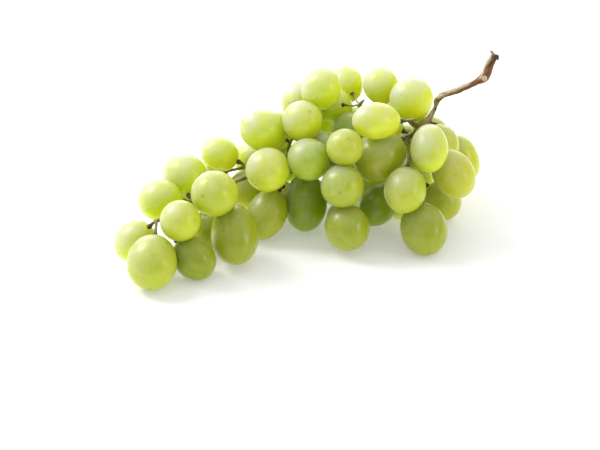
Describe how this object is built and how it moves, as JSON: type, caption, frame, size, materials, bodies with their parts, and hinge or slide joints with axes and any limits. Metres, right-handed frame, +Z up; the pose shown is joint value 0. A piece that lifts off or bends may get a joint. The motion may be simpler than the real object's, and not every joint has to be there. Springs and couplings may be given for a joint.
{
  "type": "bunch of grapes",
  "caption": "Bunch of pale green table grapes lying on its side, with a bent brown cut stem, branching stalk and oval berries pressed together in sprays.",
  "frame": {"origin": "on the surface the bunch lies on, under the middle of its bounding box", "axes": "+Z up from the surface, +X along the bunch from its tip towards the cut stem, -Y towards the side that the tip leans to"},
  "size_m": [0.1934, 0.1422, 0.0833],
  "materials": {
    "berry_skin": "pale yellow-green translucent grape skin, smooth, with a thin whitish bloom that dulls the shine",
    "stalk": "matte dry brown stem bark, greener and smoother on the thin side branches"
  },
  "bodies": {
    "root": {"stalk": "stalk", "berries_tip": "berry_skin", "berries_tail_top": "berry_skin", "berries_tail_back": "berry_skin", "berries_tail_front": "berry_skin", "berries_waist_front": "berry_skin", "berries_waist_low": "berry_skin", "berries_waist_top": "berry_skin", "berries_waist_back": "berry_skin", "berries_shoulder_front": "berry_skin", "berries_shoulder_top": "berry_skin", "berries_crown_top": "berry_skin", "berries_crown_front": "berry_skin", "berries_right": "berry_skin", "berries_right_back": "berry_skin", "berries_right_front": "berry_skin", "berries_right_low": "berry_skin", "berries_back": "berry_skin", "berries_back_low": "berry_skin", "berries_back_waist": "berry_skin"}
  },
  "joints": []
}
